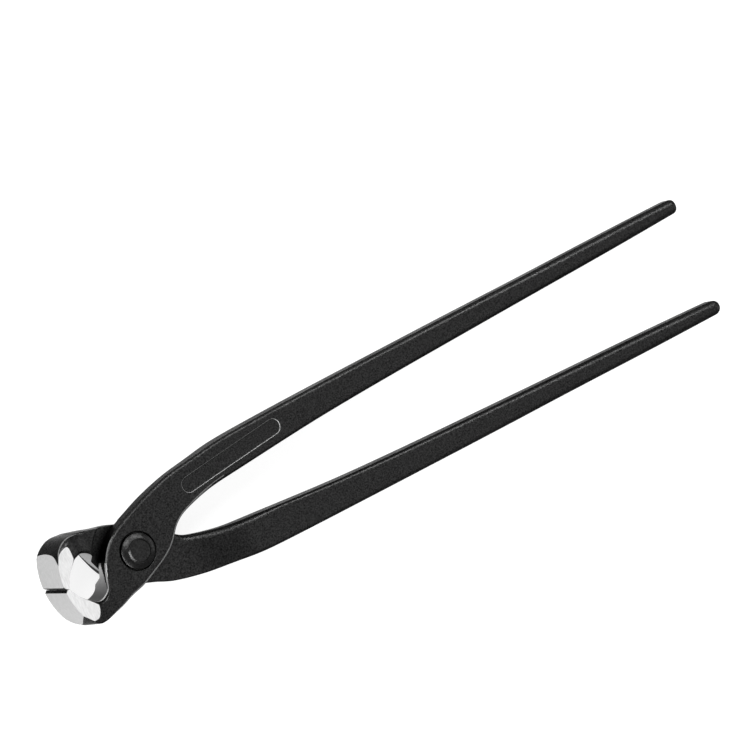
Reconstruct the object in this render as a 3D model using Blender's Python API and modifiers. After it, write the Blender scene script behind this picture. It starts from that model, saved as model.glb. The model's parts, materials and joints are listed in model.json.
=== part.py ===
"""Rebar tying pliers: two forged limbs that cross in a lap joint and turn on one rivet.

The pliers lie on a table, on their jaws, with the world origin under the middle of their length. The
handles run along +X, the jaws face -X and the pivot's axis is along Z. The front limb has its joint plate
at +Z, its handle at +Y and its jaw at -Y. The back limb is the same forging turned over about X. Every
shape is made with the pivot at its own origin, at mid-thickness, and an empty there carries them all.
"""

import math

import bmesh
import bpy
import numpy as np

MM = 0.001

# The pliers as a whole
JAW_REACH = 30.0 * MM
HANDLE_REACH = 250.0 * MM
HEAD_HALF_WIDTH = 16.0 * MM
HANDLE_HALF_SPREAD = 23.2 * MM

# Thicknesses along the pivot axis
HANDLE_THICKNESS = 9.2 * MM
JOINT_THICKNESS = 13.7 * MM
JAW_FORGED_WIDTH = 23.0 * MM
CUTTING_EDGE_WIDTH = 20.6 * MM

# Lap joint
LAP_GAP = 0.3 * MM
POCKET_LIFT = 0.05 * MM
POCKET_RADIUS = 14.3 * MM
POCKET_DRAFT = math.radians(13)
JOINT_RADIUS = 16.0 * MM
RELIEF_START = 16.0 * MM
RELIEF_LENGTH = 25.0 * MM

# Ground jaws
GRIND_RADIUS = 27.0 * MM
CUTTING_BEVEL = 0.8 * MM
FORGED_ALLOWANCE = 2.5 * MM
EDGE_GAP = 0.3 * MM

# Rounded edges and ends of the forgings
HANDLE_EDGE_RADIUS = 2.5 * MM
HANDLE_END_ROUND = 3.4 * MM
PLATE_EDGE_RADIUS = 1.3 * MM
FINE_EDGE_RADIUS = 0.4 * MM

# Crowns of the jaw: its outer side is highest a little in front of the middle, and its faces in the middle
OUTER_CROWN_DEPTH = 1.25 * MM
OUTER_CROWN_LIFT = 2.5 * MM
FACE_CROWN_DEPTH = 0.7 * MM

# Pivot rivet
RIVET_SHANK_RADIUS = 4.6 * MM
RIVET_HEAD_RADIUS = 6.1 * MM
RIVET_HEAD_RISE = 1.55 * MM
RIVET_RIM_SINK = 0.3 * MM
RIVET_BOSS_RADIUS = 4.0 * MM
RIVET_BOSS_RISE = 0.6 * MM
RIVET_BOSS_BEVEL = 0.25 * MM
RIVET_SEAT_DEPTH = 1.2 * MM
RIVET_CLEARANCE = 0.3 * MM
SEAT_CHAMFER = 0.3 * MM

# Long recess in the front handle
PANEL_LENGTH = 42.5 * MM
PANEL_WIDTH = 5.2 * MM
PANEL_DEPTH = 0.4 * MM
PANEL_CUTTER_HEIGHT = 5.0 * MM
PANEL_MIDDLE_X = 45.5 * MM
PANEL_MIDDLE_Y = 13.9 * MM
PANEL_TURN = math.radians(6.5)

# How finely the shapes are cut, how near points are made one, and how far a cutter runs past what it cuts
STEPS_PER_SPAN = 2
CORNER_STEPS = 4
FACE_STEPS = 4
END_STEPS = 4
ARC_STEPS = 16
TURNED_STEPS = 48
WELD_DISTANCE = 0.001 * MM
SCREW_WELD_DISTANCE = 0.01 * MM
OVERRUN = 5.0 * MM

# Sections of a limb run straight across it. Their first side is outside on the handle and becomes the
# mouth, and their second side is inside on the handle and becomes the jaw's outer side.
# Along the handle: place as a share of its reach, then both sides as shares of the half spread.
HANDLE_SECTION_SHARES = (
    (0.86, 0.99, 0.715),
    (0.72, 0.97, 0.663),
    (0.58, 0.96, 0.61),
    (0.44, 0.943, 0.552),
    (0.32, 0.926, 0.485),
    (0.22, 0.9, 0.407),
    (0.168, 0.868, 0.36),
)
HANDLE_END_SHARES = (1.0, 0.77)

# Through the joint: X and Y of the first side, then of the second, as shares of the joint's radius.
JOINT_SECTION_SHARES = (
    (1.94, 1.19, 2.06, 0.455),
    (1.28, 1.11, 1.53, 0.335),
    (0.74, 0.97, 1.19, 0.2),
    (0.4, 0.86, 1.01, 0.06),
    (0.05, 0.73, 0.88, -0.09),
    (-0.24, 0.61, 0.7, -0.26),
    (-0.48, 0.45, 0.43, -0.43),
    (-0.66, 0.26, 0.1, -0.585),
    (-0.78, 0.06, -0.2, -0.725),
    (-0.86, -0.14, -0.5, -0.81),
    (-0.91, -0.3, -0.75, -0.878),
)

# Where the jaw starts, as a share of the joint's radius
JAW_START_SHARE = 0.91

# Along the jaw: X and Y of the mouth side, then of the outer side. X is a share of the way from the jaw's
# start to its reach, and Y a share of the head's half width.
JAW_SECTION_SHARES = (
    (0.058, -0.429, 0.087, -0.934),
    (0.223, -0.531, 0.291, -0.978),
    (0.398, -0.531, 0.514, -0.997),
    (0.553, -0.429, 0.689, -0.938),
    (0.699, -0.293, 0.835, -0.806),
    (0.806, -0.146, 1.0, -0.613),
    (0.889, -0.01, 1.136, -0.371),
)

# How the limb's front swells from the handle to the joint, and from the joint to the jaw: place as a share
# of that reach, then the share of the swelling.
JOINT_SWELL_SHARES = ((0.04, 1.0), (0.08, 0.63), (0.12, 0.28), (0.17, 0.06), (0.24, 0.0))
JAW_SWELL_SHARES = ((0.25, 0.0), (0.4, 0.12), (0.53, 0.33), (0.66, 0.62), (0.8, 0.88), (1.0, 1.0))

# How far the limb's back lies below the lap: beyond the relief towards the handle, and behind the pocket
# towards the jaw. Place as a share of that reach, then the share of the whole depth.
RELIEF_SHARES = ((0.0, 0.0), (0.12, 0.03), (0.3, 0.17), (0.5, 0.42), (0.7, 0.69), (0.88, 0.91), (1.0, 1.0))
JAW_BACK_SHARES = (
    (0.18, 0.0),
    (0.25, 0.36),
    (0.43, 0.43),
    (0.57, 0.6),
    (0.64, 0.73),
    (0.72, 0.89),
    (0.8, 0.96),
    (1.0, 1.0),
)

# How the edge radius grows along the handle, and how the jaw's crowns grow towards its end
HANDLE_EDGE_SHARES = ((0.1, 0.5), (0.4, 0.7), (1.0, 1.0))
JAW_CROWN_SHARES = ((0.3, 0.0), (0.55, 0.8), (0.75, 1.0))

# Where the plate's rounded edge ends and the fine edge of the jaw begins, as a share of the joint's radius
PLATE_EDGE_END_SHARE = -0.45

# The smallest ring that closes a handle's rounded end
TIP_SHARE = 0.12


def clear_scene():
    """Remove every object of the scene that Blender opened with."""
    for obj in list(bpy.data.objects):
        bpy.data.objects.remove(obj, do_unlink=True)


def new_collection(name, parent):
    collection = bpy.data.collections.new(name)
    parent.children.link(collection)
    return collection


def make_material(name, colour, roughness, metallic):
    material = bpy.data.materials.new(name)
    material.use_nodes = True
    shader = material.node_tree.nodes["Principled BSDF"]
    shader.inputs["Base Color"].default_value = (*colour, 1.0)
    shader.inputs["Roughness"].default_value = roughness
    shader.inputs["Metallic"].default_value = metallic
    return material


def mesh_object(name, vertices, faces, collection):
    """A mesh object with its faces turned outwards."""
    mesh = bpy.data.meshes.new(name)
    mesh.from_pydata(vertices, [], faces)
    shape = bmesh.new()
    shape.from_mesh(mesh)
    bmesh.ops.recalc_face_normals(shape, faces=shape.faces)
    shape.to_mesh(mesh)
    shape.free()
    obj = bpy.data.objects.new(name, mesh)
    collection.objects.link(obj)
    return obj


def smooth_rows(rows, steps):
    """The given rows with others between them, on a natural cubic spline along their running distance."""
    rows = np.array(rows)
    spans = np.linalg.norm(np.diff(rows, axis=0), axis=1)
    count = len(rows)
    matrix = np.eye(count)
    right = np.zeros_like(rows)
    slopes = np.diff(rows, axis=0) / spans[:, None]
    for i in range(1, count - 1):
        matrix[i, i - 1] = spans[i - 1]
        matrix[i, i] = 2 * (spans[i - 1] + spans[i])
        matrix[i, i + 1] = spans[i]
        right[i] = 6 * (slopes[i] - slopes[i - 1])
    bend = np.linalg.solve(matrix, right)
    found = []
    for i in range(count - 1):
        for part in np.arange(steps) / steps:
            after = part * spans[i]
            before = spans[i] - after
            found.append(
                (bend[i] * before**3 + bend[i + 1] * after**3) / (6 * spans[i])
                + (rows[i] / spans[i] - bend[i] * spans[i] / 6) * before
                + (rows[i + 1] / spans[i] - bend[i + 1] * spans[i] / 6) * after
            )
    found.append(rows[-1])
    return found


def share_at(place, shares):
    places, values = zip(*shares)
    return float(np.interp(place, places, values))


def front_height(x):
    """How high the limb's front face lies at x."""
    if x > 0:
        swell = share_at(x / HANDLE_REACH, JOINT_SWELL_SHARES)
        return HANDLE_THICKNESS / 2 + swell * (JOINT_THICKNESS - HANDLE_THICKNESS) / 2
    swell = share_at(-x / JAW_REACH, JAW_SWELL_SHARES)
    return JOINT_THICKNESS / 2 + swell * (JAW_FORGED_WIDTH - JOINT_THICKNESS) / 2


def back_height(x):
    """How high the limb's back face lies at x: the lap face in the joint, and lower to both sides of it."""
    lap = LAP_GAP / 2
    if x > 0:
        relief = share_at((x - RELIEF_START) / RELIEF_LENGTH, RELIEF_SHARES)
        return lap - relief * (lap + HANDLE_THICKNESS / 2)
    return lap - share_at(-x / JAW_REACH, JAW_BACK_SHARES) * (lap + JAW_FORGED_WIDTH / 2)


def limb_sections():
    """X and Y of each section's first side and of its second, from the handle's end to the cutting edge."""
    end_x = HANDLE_REACH - HANDLE_END_ROUND
    outer_end, inner_end = HANDLE_END_SHARES
    rows = [(end_x, outer_end * HANDLE_HALF_SPREAD, end_x, inner_end * HANDLE_HALF_SPREAD)]
    for along, outer, inner in HANDLE_SECTION_SHARES:
        x = along * HANDLE_REACH
        rows.append((x, outer * HANDLE_HALF_SPREAD, x, inner * HANDLE_HALF_SPREAD))
    for section in JOINT_SECTION_SHARES:
        rows.append(tuple(share * JOINT_RADIUS for share in section))
    jaw_start = JAW_START_SHARE * JOINT_RADIUS
    for along1, y1, along2, y2 in JAW_SECTION_SHARES:
        x1 = -jaw_start - along1 * (JAW_REACH - jaw_start)
        x2 = -jaw_start - along2 * (JAW_REACH - jaw_start)
        rows.append((x1, y1 * HEAD_HALF_WIDTH, x2, y2 * HEAD_HALF_WIDTH))
    rows = smooth_rows(rows, STEPS_PER_SPAN)
    # The last section is the bevel outside the cutting edge, at 45 degrees, and runs past the ground face.
    edge_x = CUTTING_BEVEL - JAW_REACH
    edge_y = -EDGE_GAP / 2
    rows.append((edge_x, edge_y, edge_x - FORGED_ALLOWANCE, edge_y - FORGED_ALLOWANCE))
    return rows


def edges_at(x):
    """Radius of the rounded edges at x, on the first side and on the second."""
    if x > RELIEF_START + RELIEF_LENGTH:
        radius = HANDLE_EDGE_RADIUS * share_at(x / HANDLE_REACH, HANDLE_EDGE_SHARES)
        return radius, radius
    if x > PLATE_EDGE_END_SHARE * JOINT_RADIUS:
        return PLATE_EDGE_RADIUS, FINE_EDGE_RADIUS
    return FINE_EDGE_RADIUS, FINE_EDGE_RADIUS


def section_points(row):
    """A rectangle with rounded corners between the row's two sides, once round, and crowned on the jaw."""
    first, second = np.array(row[:2]), np.array(row[2:])
    width = np.linalg.norm(second - first)
    across = (second - first) / width
    x = (first[0] + second[0]) / 2
    edge_first, edge_second = edges_at(x)
    front, back = front_height(x), back_height(x)
    turn = np.linspace(0, math.pi / 2, CORNER_STEPS + 1)
    arcs = []
    for corner in range(4):
        edge = edge_second if corner in (0, 3) else edge_first
        middle = width - edge if corner in (0, 3) else edge
        level = front - edge if corner < 2 else back + edge
        angle = turn + corner * math.pi / 2
        arcs.append(np.column_stack([middle + edge * np.cos(angle), level + edge * np.sin(angle)]))
    between = np.arange(1, FACE_STEPS)[:, None] / FACE_STEPS
    ring = []
    for arc, after in zip(arcs, arcs[1:] + arcs[:1]):
        ring += [arc, arc[-1] + between * (after[0] - arc[-1])]
    along, height = np.vstack(ring).T
    crown = share_at(-x / JAW_REACH, JAW_CROWN_SHARES)
    face_crown = crown * FACE_CROWN_DEPTH * (2 * along / width - 1) ** 2
    height = height - face_crown * height / front
    from_top = (height - OUTER_CROWN_LIFT) / (CUTTING_EDGE_WIDTH / 2 + OUTER_CROWN_LIFT)
    outer_crown = crown * OUTER_CROWN_DEPTH * from_top**2
    along = along * (1 - outer_crown / width)
    return np.column_stack([first[0] + along * across[0], first[1] + along * across[1], height])


def rounded_end(points, steps):
    """Copies of the handle's last section that shrink to a rounded end, the smallest first."""
    middle = points.mean(axis=0)
    rings = []
    for angle in np.linspace(math.pi / 2, 0, steps + 1)[:-1]:
        ring = middle + (points - middle) * max(math.cos(angle), TIP_SHARE)
        ring[:, 0] += HANDLE_END_ROUND * math.sin(angle)
        rings.append(ring)
    return rings


def loft(name, rings, collection):
    """One closed body through rings of equal length, with a flat face at each end."""
    count = len(rings[0])
    faces = [tuple(range(count)), tuple(range((len(rings) - 1) * count, len(rings) * count))]
    for i in range(len(rings) - 1):
        for j in range(count):
            k = (j + 1) % count
            faces.append((i * count + j, i * count + k, (i + 1) * count + k, (i + 1) * count + j))
    return mesh_object(name, np.vstack(rings).tolist(), faces, collection)


def flat_solid(name, outline, half_depth, collection):
    """A 2D curve through the outline's points, given depth, made a mesh and welded."""
    curve = bpy.data.curves.new(name, "CURVE")
    curve.dimensions = "2D"
    curve.fill_mode = "BOTH"
    curve.extrude = half_depth
    line = curve.splines.new("POLY")
    line.points.add(len(outline) - 1)
    for point, (x, y) in zip(line.points, outline):
        point.co = (x, y, 0, 1)
    line.use_cyclic_u = True
    drawn = bpy.data.objects.new(name + "_outline", curve)
    collection.objects.link(drawn)
    bpy.context.view_layer.update()
    graph = bpy.context.evaluated_depsgraph_get()
    mesh = bpy.data.meshes.new_from_object(drawn.evaluated_get(graph))
    bpy.data.objects.remove(drawn, do_unlink=True)
    shape = bmesh.new()
    shape.from_mesh(mesh)
    bmesh.ops.remove_doubles(shape, verts=shape.verts, dist=WELD_DISTANCE)
    bmesh.ops.recalc_face_normals(shape, faces=shape.faces)
    shape.to_mesh(mesh)
    shape.free()
    obj = bpy.data.objects.new(name, mesh)
    collection.objects.link(obj)
    return obj


def turned_solid(name, profile, collection):
    """A profile of (radius, height) points, from top to bottom, turned about Z."""
    mesh = bpy.data.meshes.new(name)
    lines = [(i, i + 1) for i in range(len(profile) - 1)]
    mesh.from_pydata([(r, 0, z) for r, z in profile], lines, [])
    obj = bpy.data.objects.new(name, mesh)
    collection.objects.link(obj)
    screw = obj.modifiers.new("turn", "SCREW")
    screw.steps = TURNED_STEPS
    screw.render_steps = TURNED_STEPS
    screw.use_merge_vertices = True
    screw.merge_threshold = SCREW_WELD_DISTANCE
    screw.use_smooth_shade = True
    return obj


def box(name, low, high, collection):
    shape = bmesh.new()
    bmesh.ops.create_cube(shape, size=1)
    size = [b - a for a, b in zip(low, high)]
    middle = [(a + b) / 2 for a, b in zip(low, high)]
    bmesh.ops.scale(shape, vec=size, verts=shape.verts)
    bmesh.ops.translate(shape, vec=middle, verts=shape.verts)
    mesh = bpy.data.meshes.new(name)
    shape.to_mesh(mesh)
    shape.free()
    obj = bpy.data.objects.new(name, mesh)
    collection.objects.link(obj)
    return obj


def pocket_cutter(name, collection):
    """The round pocket behind the joint plate, with a drafted wall, where the other limb's plate turns."""
    top = LAP_GAP / 2 - POCKET_LIFT
    bottom = -JAW_FORGED_WIDTH / 2 - OVERRUN
    bottom_radius = POCKET_RADIUS + (top - bottom) * math.tan(POCKET_DRAFT)
    profile = [(0, top), (POCKET_RADIUS, top), (bottom_radius, bottom), (0, bottom)]
    return turned_solid(name, profile, collection)


def end_grinding_cutter(name, collection):
    """What the wheel takes off the jaws' ends: all that lies outside a large cylinder about Z."""
    middle = GRIND_RADIUS - JAW_REACH
    widest = math.asin((HEAD_HALF_WIDTH + OVERRUN) / GRIND_RADIUS)
    outline = []
    for angle in np.linspace(-widest, widest, 2 * ARC_STEPS + 1):
        outline.append((middle - GRIND_RADIUS * math.cos(angle), GRIND_RADIUS * math.sin(angle)))
    outline.append((-JAW_REACH - OVERRUN, outline[-1][1]))
    outline.append((-JAW_REACH - OVERRUN, outline[0][1]))
    return flat_solid(name, outline, JAW_FORGED_WIDTH / 2 + OVERRUN, collection)


def side_grinding_cutter(name, side, collection):
    """What is ground off one side of the jaw, so that its cutting edge has its width."""
    inner = side * CUTTING_EDGE_WIDTH / 2
    outer = side * (JAW_FORGED_WIDTH / 2 + OVERRUN)
    low = (-JAW_REACH - OVERRUN, -HEAD_HALF_WIDTH - OVERRUN, min(inner, outer))
    high = (0, HEAD_HALF_WIDTH + OVERRUN, max(inner, outer))
    return box(name, low, high, collection)


def rivet_hole_cutter(name, collection):
    """The rivet's hole, with the seat for its head and a small chamfer."""
    hole = RIVET_SHANK_RADIUS + RIVET_CLEARANCE
    seat = RIVET_HEAD_RADIUS + RIVET_CLEARANCE
    face = JOINT_THICKNESS / 2
    profile = [
        (0, face + OVERRUN),
        (seat + SEAT_CHAMFER + OVERRUN, face + OVERRUN),
        (seat, face - SEAT_CHAMFER),
        (seat, face - RIVET_SEAT_DEPTH),
        (hole, face - RIVET_SEAT_DEPTH),
        (hole, -OVERRUN),
        (0, -OVERRUN),
    ]
    return turned_solid(name, profile, collection)


def panel_cutter(name, collection):
    """The long recess with round ends in the handle's face."""
    radius = PANEL_WIDTH / 2
    straight = PANEL_LENGTH / 2 - radius
    outline = []
    for start, middle in ((-math.pi / 2, straight), (math.pi / 2, -straight)):
        for angle in np.linspace(start, start + math.pi, ARC_STEPS + 1):
            outline.append((middle + radius * math.cos(angle), radius * math.sin(angle)))
    half_height = PANEL_CUTTER_HEIGHT / 2
    obj = flat_solid(name, outline, half_height, collection)
    floor = front_height(PANEL_MIDDLE_X) - PANEL_DEPTH
    obj.location = (PANEL_MIDDLE_X, PANEL_MIDDLE_Y, floor + half_height)
    obj.rotation_euler.z = PANEL_TURN
    return obj


def cut(obj, cutter):
    cutter.hide_render = True
    cutter.display_type = "WIRE"
    boolean = obj.modifiers.new(cutter.name, "BOOLEAN")
    boolean.operation = "DIFFERENCE"
    boolean.object = cutter


def make_limb(name, turned, with_panel, collection, cutters):
    """One forging with its lap pocket, ground jaw and rivet hole. The turned one lies upside down about X."""
    sections = [section_points(row) for row in limb_sections()]
    rings = rounded_end(sections[0], END_STEPS) + sections
    limb = loft(name, rings, collection)
    tools = [
        pocket_cutter(name + "_pocket", cutters),
        end_grinding_cutter(name + "_end_grinding", cutters),
        side_grinding_cutter(name + "_front_grinding", 1, cutters),
        side_grinding_cutter(name + "_back_grinding", -1, cutters),
        rivet_hole_cutter(name + "_rivet_hole", cutters),
    ]
    if with_panel:
        tools.append(panel_cutter(name + "_panel", cutters))
    for tool in tools:
        cut(limb, tool)
    if turned:
        for obj in [limb] + tools:
            obj.rotation_euler.x += math.pi
    return limb


def make_rivet(name, collection):
    """A shank with a head at each end: a convex rim, then a low flat boss."""
    face = JOINT_THICKNESS / 2
    under = face - RIVET_SEAT_DEPTH + RIVET_CLEARANCE
    shoulder = face + RIVET_HEAD_RISE
    rim = RIVET_HEAD_RADIUS - RIVET_BOSS_RADIUS
    half = [(0, shoulder + RIVET_BOSS_RISE)]
    half.append((RIVET_BOSS_RADIUS - RIVET_BOSS_BEVEL, shoulder + RIVET_BOSS_RISE))
    half.append((RIVET_BOSS_RADIUS, shoulder + RIVET_BOSS_RISE - RIVET_BOSS_BEVEL))
    for angle in np.linspace(0, math.pi / 2, CORNER_STEPS + 2):
        out = RIVET_BOSS_RADIUS + rim * math.sin(angle)
        half.append((out, face - RIVET_RIM_SINK + (RIVET_HEAD_RISE + RIVET_RIM_SINK) * math.cos(angle)))
    half.append((RIVET_HEAD_RADIUS, under))
    half.append((RIVET_SHANK_RADIUS, under))
    profile = half + [(r, -z) for r, z in reversed(half)]
    return turned_solid(name, profile, collection)


def make_pivot(name, collection):
    """The empty on the pivot's axis, half the jaws' width above the table, with the length centred."""
    pivot = bpy.data.objects.new(name, None)
    pivot.location = ((JAW_REACH - HANDLE_REACH) / 2, 0, CUTTING_EDGE_WIDTH / 2)
    collection.objects.link(pivot)
    return pivot


def main():
    clear_scene()
    scene = bpy.context.scene.collection
    pliers = new_collection("rebar_tying_pliers", scene)
    cutters = new_collection("cutters", scene)

    black_steel = make_material("black_forged_steel", (0.02, 0.02, 0.021), 0.45, 0.6)
    rivet_steel = make_material("black_rivet_steel", (0.022, 0.022, 0.023), 0.4, 0.6)

    front = make_limb("front_limb", False, True, pliers, cutters)
    back = make_limb("back_limb", True, False, pliers, cutters)
    rivet = make_rivet("rivet", pliers)

    front.data.materials.append(black_steel)
    back.data.materials.append(black_steel)
    rivet.data.materials.append(rivet_steel)

    pivot = make_pivot("pivot", pliers)
    for obj in [front, back, rivet] + list(cutters.objects):
        obj.parent = pivot


main()
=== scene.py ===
"""The looks of the rebar tying pliers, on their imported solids.

The shapes are worked out in millimetres with the pivot at zero, as the forge's drawing would have them: the handles
run along +X, the jaws face -X and the pivot's axis is Z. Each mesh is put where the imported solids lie. The back limb
is the front one turned over about X, without the recess.
"""

import json
import math

import bmesh
import bpy
import numpy as np
from mathutils import Matrix, Vector


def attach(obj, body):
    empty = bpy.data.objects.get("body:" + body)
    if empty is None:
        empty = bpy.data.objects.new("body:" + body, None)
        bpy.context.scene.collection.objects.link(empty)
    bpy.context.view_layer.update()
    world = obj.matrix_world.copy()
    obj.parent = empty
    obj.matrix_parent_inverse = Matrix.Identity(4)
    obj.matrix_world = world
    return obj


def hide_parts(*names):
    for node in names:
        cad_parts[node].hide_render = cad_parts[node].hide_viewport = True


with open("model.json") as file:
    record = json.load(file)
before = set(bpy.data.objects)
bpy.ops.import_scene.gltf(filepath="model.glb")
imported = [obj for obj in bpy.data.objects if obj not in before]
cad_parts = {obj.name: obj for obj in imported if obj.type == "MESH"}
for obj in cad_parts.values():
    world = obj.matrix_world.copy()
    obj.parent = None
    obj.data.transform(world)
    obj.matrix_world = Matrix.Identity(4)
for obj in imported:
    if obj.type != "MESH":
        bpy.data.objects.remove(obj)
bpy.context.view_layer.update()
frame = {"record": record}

MM = 0.001
PIVOT = np.array(frame["record"]["behaviour"]["joints"][0]["pos_m"])

# The sizes of the forgings. The solids have them too, with a lap gap of 0.3 mm, and with sections and crowns that
# differ from those below by fractions of a millimetre on the handles and the plate, and by more on the jaws' faces.
JAW_REACH = 30.0
HANDLE_REACH = 250.0
HEAD_HALF_WIDTH = 16.0
HANDLE_HALF_SPREAD = 23.2
HANDLE_THICKNESS = 9.2
JOINT_THICKNESS = 13.7
JAW_FORGED_WIDTH = 23.0
CUTTING_EDGE_WIDTH = 20.6
LAP_GAP = 0.24
POCKET_RADIUS = 14.3
POCKET_DRAFT = math.radians(13)
POCKET_SLOPE = 1 / math.tan(POCKET_DRAFT)
POCKET_FILLET = 0.5
POCKET_ROUND = 0.7
JOINT_RADIUS = 16.0
RELIEF_START = 16.0
RELIEF_LENGTH = 25.0
GRIND_RADIUS = 27.0
CUTTING_BEVEL = 0.8
FORGED_ALLOWANCE = 2.5
EDGE_GAP = 0.3

# Edges and crowns
HANDLE_EDGE = 2.5
HANDLE_END = 3.4
PLATE_EDGE = 1.3
FINE_EDGE = 0.4
SECOND_EDGE = 0.65
CROTCH_EDGE = 2.8
MILLED_EDGE_POINTS = 4
FLAT_SHARE = 0.15
MOUTH_FALL = 1.5
MILLED_FROM = 1.5
HARD_EDGE = math.radians(30)

# Cutters run past the steel by this much, and arcs that are turned or ground have this many points
OVERRUN = 5.0
TURNED_STEPS = 96
WHEEL_POINTS = 241

# The rivet and its seat
RIVET_RADIUS = 6.1
RIVET_RISE = 1.55
DOME_SLOPES = (21, 38)
RIM_ROUND = 0.4
BOSS_RADIUS = 4.0
BOSS_RISE = 0.6
BOSS_BEVEL = (0.5, 0.58)
BOSS_FOOT = 0.25
BOSS_DIP = 0.05
DOME_POINTS = 24
RIM_POINTS = 8
RIVET_CLEARANCE = 0.3
SEAT_RADIUS = 6.4
SEAT_DEPTH = 1.2
SEAT_LIP = 0.45
SEAT_LIP_ARC = (115, 180, 7)
SHANK_RADIUS = 4.6
HOLE_RADIUS = 4.9

# The recess in the front handle
PANEL_LENGTH = 42.5
PANEL_WIDTH = 5.2
PANEL_DEPTH = 0.4
PANEL_LIP = 0.35
PANEL_LIP_ARC = (115, 165, 6)
PANEL_LIP_RUN = 3
PANEL_FOOT = 0.15
PANEL_FOOT_ARC = (0, -90, 6)
PANEL_MIDDLE = (45.5, 13.9)
PANEL_END_STATIONS = 13
PANEL_SIDE_STATIONS = 40
PANEL_TURN = math.radians(6.5)

# The two forgings are set and ground by hand, so they differ a little. The jaw's outer side is rounded about a fullest
# height, by a depth at its edges and a power, with shares along the jaw. Its tip is drawn in. Its faces lie lower by a
# drop and fall away outwards by a depth and a power. Its mouth narrows to the side that was behind in the die, and the
# limb is fuller beside the joint.
FRONT_FORM = {
    "fullest": -2.2,
    "crown": 1.6,
    "power": 1.2,
    "crown_shares": ((0.0, 0.0), (0.3, 0.0), (0.6, 0.2), (0.75, 0.3), (0.87, 1.0), (1.0, 1.0)),
    "tip_draw": 0.0,
    "face_drop": 0.0,
    "face_fall": 0.95,
    "face_power": 1.6,
    "mouth_taper": 0.0,
    "belly": 0.25,
}
BACK_FORM = {
    "fullest": 2.5,
    "crown": 1.8,
    "power": 1.6,
    "crown_shares": (
        (0.0, 0.0),
        (0.3, 0.0),
        (0.45, 0.5),
        (0.52, 0.6),
        (0.6, 0.42),
        (0.68, 0.15),
        (0.76, 0.03),
        (0.85, 0.05),
        (0.94, 0.85),
        (1.0, 1.0),
    ),
    "tip_draw": 1.1,
    "face_drop": 0.3,
    "face_fall": 1.75,
    "face_power": 5.5,
    "mouth_taper": 1.2,
    "belly": 1.0,
}
INNER_BELLY = 0.3

# The studio, in metres where nothing else is said
PAPER = "#F2F2F2"
SHADOW_SHARE = 0.25
FLOOR_GLOW = 0.84
FLOOR_REACH = 4.0
WHITE = (1.0, 1.0, 1.0, 1.0)
WORLD_LEVEL = 0.56
LIT_POINT = Vector((0.0, 0.0, 0.01))

# Name, direction from the pliers, distance, width and height, and level
SOFT_BOXES = (
    ("ceiling_panel", (0.43, -0.13, 0.89), 1.5, (1.5, 1.5), 0.7),
    ("key_soft_box", (0.43, 0.66, 0.61), 1.3, (0.9, 0.3), 14.0),
    ("upper_left_soft_box", (-0.3, 0.66, 0.66), 1.3, (0.6, 0.7), 9.0),
    ("left_soft_box", (-0.92, -0.28, 0.26), 1.3, (1.9, 0.25), 30.0),
    ("right_soft_box", (0.95, -0.15, 0.2), 1.3, (0.9, 0.4), 3.0),
)

# The camera's place from the pivot, its lens and its sensor are in millimetres
CAMERA_PLACE = (-340.6, 148.9, 940.8)
CAMERA_FORWARD = (0.4282, -0.1273, -0.8947)
CAMERA_UP = (0.4146, 0.9073, 0.0693)
CAMERA_LENS = 144.0
CAMERA_SENSOR = 36.0
CAMERA_CLIP = (0.05, 20.0)

# Sections of a limb, from the handle's end to the cutting edge, as X and Y of its first side (outside on the handle,
# mouth on the jaw) and X and Y of its second side, as shares of the sizes that they follow.
HANDLE_SECTION_SHARES = (
    (0.86, 0.995, 0.705),
    (0.72, 0.978, 0.654),
    (0.58, 0.969, 0.601),
    (0.44, 0.953, 0.544),
    (0.32, 0.936, 0.477),
    (0.22, 0.908, 0.4),
    (0.168, 0.875, 0.355),
)
HANDLE_END_SHARES = (1.0, 0.763)
JOINT_SECTION_SHARES = (
    (1.94, 1.19, 2.06, 0.455),
    (1.28, 1.11, 1.53, 0.335),
    (0.74, 0.97, 1.19, 0.2),
    (0.4, 0.86, 1.01, 0.06),
    (0.05, 0.73, 0.88, -0.09),
    (-0.24, 0.61, 0.7, -0.26),
    (-0.48, 0.45, 0.43, -0.43),
    (-0.66, 0.26, 0.1, -0.585),
    (-0.78, 0.06, -0.2, -0.708),
    (-0.86, -0.14, -0.5, -0.783),
    (-0.91, -0.3, -0.75, -0.864),
)
JAW_START_SHARE = 0.91
JAW_SECTION_SHARES = (
    (0.058, -0.429, 0.087, -0.93),
    (0.223, -0.531, 0.291, -0.978),
    (0.398, -0.531, 0.514, -0.997),
    (0.553, -0.429, 0.689, -0.938),
    (0.699, -0.293, 0.835, -0.806),
    (0.806, -0.146, 1.0, -0.613),
    (0.889, -0.01, 1.136, -0.371),
)
# How many stations the span between two sections gets: close together where the pocket's wall crosses the limb
SPAN_STATIONS = (16,) * 5 + (14, 10, 10, 14, 12, 10, 10, 10, 12, 24, 44, 56, 56, 40) + (18,) * 6

# Points once round a section: each corner's arc, then what lies between it and the next corner
CORNER_POINTS = 9
FRONT_POINTS = 14
SIDE_POINTS = 12
BACK_POINTS = 44
END_RINGS = 12
RING_POINTS = 4 * CORNER_POINTS + FRONT_POINTS + 2 * SIDE_POINTS + BACK_POINTS
FIRST_SIDE = (2 * CORNER_POINTS + FRONT_POINTS - 1, 2 * CORNER_POINTS + FRONT_POINTS + SIDE_POINTS)

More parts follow.
